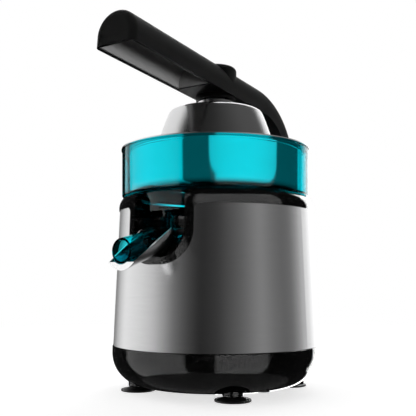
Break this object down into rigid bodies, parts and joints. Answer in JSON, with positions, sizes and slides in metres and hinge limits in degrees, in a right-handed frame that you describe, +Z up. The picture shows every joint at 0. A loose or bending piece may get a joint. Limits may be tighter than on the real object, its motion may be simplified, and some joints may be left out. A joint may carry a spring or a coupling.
{
  "type": "lever citrus press",
  "caption": "Electric lever citrus press: steel-clad body on suction feet, clear bowl over a strainer, ribbed turning cone, press dome on a hinged arm, and a tilting spout.",
  "frame": {"origin": "on the drive axis at the level of the counter, under the middle of the object's box", "axes": "+Z up along the drive axis; the spout and the free end of the arm point to -Y"},
  "size_m": [0.173, 0.2655, 0.2863],
  "materials": {
    "gloss_black": "glossy moulded black plastic",
    "rubber": "soft black rubber",
    "brushed_steel": "brushed stainless steel",
    "polished_steel": "polished stainless steel",
    "clear_cyan": "clear tinted plastic",
    "matte_black": "fine matte black plastic",
    "satin_dark": "smooth grey plastic",
    "dark_plastic": "black food-safe plastic",
    "nylon": "natural nylon",
    "machined_steel": "plain machined steel",
    "bronze": "sintered bronze"
  },
  "bodies": {
    "housing": {"base_pan": "gloss_black", "suction_foot_1": "rubber", "suction_foot_2": "rubber", "suction_foot_3": "rubber", "suction_foot_4": "rubber", "steel_sleeve": "brushed_steel", "top_collar": "gloss_black", "spout_bay": "gloss_black", "cord_gland": "rubber", "terminal_block": "nylon", "tie_rods": "machined_steel", "gear_plate": "machined_steel", "gearbox_cover": "nylon", "plate_screws": "machined_steel", "motor_screws": "machined_steel", "cover_screws": "machined_steel", "motor_can": "machined_steel", "motor_cap": "machined_steel", "motor_stator": "machined_steel", "idler_axle": "machined_steel", "spindle_bush": "bronze", "spindle_seal": "rubber", "switch_body": "nylon", "juice_bowl": "clear_cyan", "strainer": "polished_steel", "hinge_bracket": "matte_black", "hinge_pin": "machined_steel", "hinge_backplate": "machined_steel", "bracket_screws": "machined_steel"},
    "rotor": {"motor_rotor": "machined_steel", "motor_pinion": "nylon"},
    "idler": {"idler_gear": "nylon"},
    "output": {"output_gear": "nylon", "retaining_ring": "machined_steel", "spindle_spring": "machined_steel"},
    "spindle": {"drive_spindle": "machined_steel", "reamer": "dark_plastic"},
    "start_button": {"switch_button": "nylon"},
    "spout": {"spout_nozzle": "clear_cyan", "spout_scoop": "polished_steel", "spout_pins": "dark_plastic"},
    "arm": {"lever_arm": "matte_black", "handle_liner": "satin_dark", "dome_pin": "machined_steel"},
    "dome": {"press_dome": "polished_steel", "dome_neck": "polished_steel", "dome_stem": "machined_steel"}
  },
  "joints": [
    {"name": "reamer_spin", "type": "hinge", "parent": "housing", "child": "output", "pos_m": [0, 0, 0.095], "axis": [0, 0, 1], "continuous": true},
    {"name": "idler_spin", "type": "hinge", "parent": "housing", "child": "idler", "pos_m": [0, 0.03895, 0.09], "axis": [0, 0, 1], "continuous": true},
    {"name": "motor_spin", "type": "hinge", "parent": "housing", "child": "rotor", "pos_m": [0, 0.00375, 0.05], "axis": [0, 0, 1], "continuous": true},
    {"name": "reamer_press", "type": "slide", "parent": "output", "child": "spindle", "axis": [0, 0, -1], "range_m": [0, 0.003], "stiffness_N_per_m": 1500, "springref_m": -0.003, "deforming": ["spindle_spring"]},
    {"name": "button_press", "type": "slide", "parent": "housing", "child": "start_button", "axis": [0, 0, -1], "range_m": [0, 0.0034]},
    {"name": "spout_tilt", "type": "hinge", "parent": "housing", "child": "spout", "pos_m": [0, -0.0715, 0.127], "axis": [-1, 0, 0], "range_deg": [0, 20]},
    {"name": "arm_lift", "type": "hinge", "parent": "housing", "child": "arm", "pos_m": [0, 0.1135, 0.172], "axis": [-1, 0, 0], "range_deg": [0, 80]},
    {"name": "dome_tilt", "type": "hinge", "parent": "arm", "child": "dome", "pos_m": [0, 0, 0.259], "axis": [1, 0, 0], "range_deg": [-5, 5]}
  ],
  "couplings": [
    {"joint": "idler_spin", "follows": "reamer_spin", "ratio": -3.4286},
    {"joint": "motor_spin", "follows": "reamer_spin", "ratio": 13.714},
    {"joint": "button_press", "follows": "reamer_press", "ratio": 1}
  ]
}
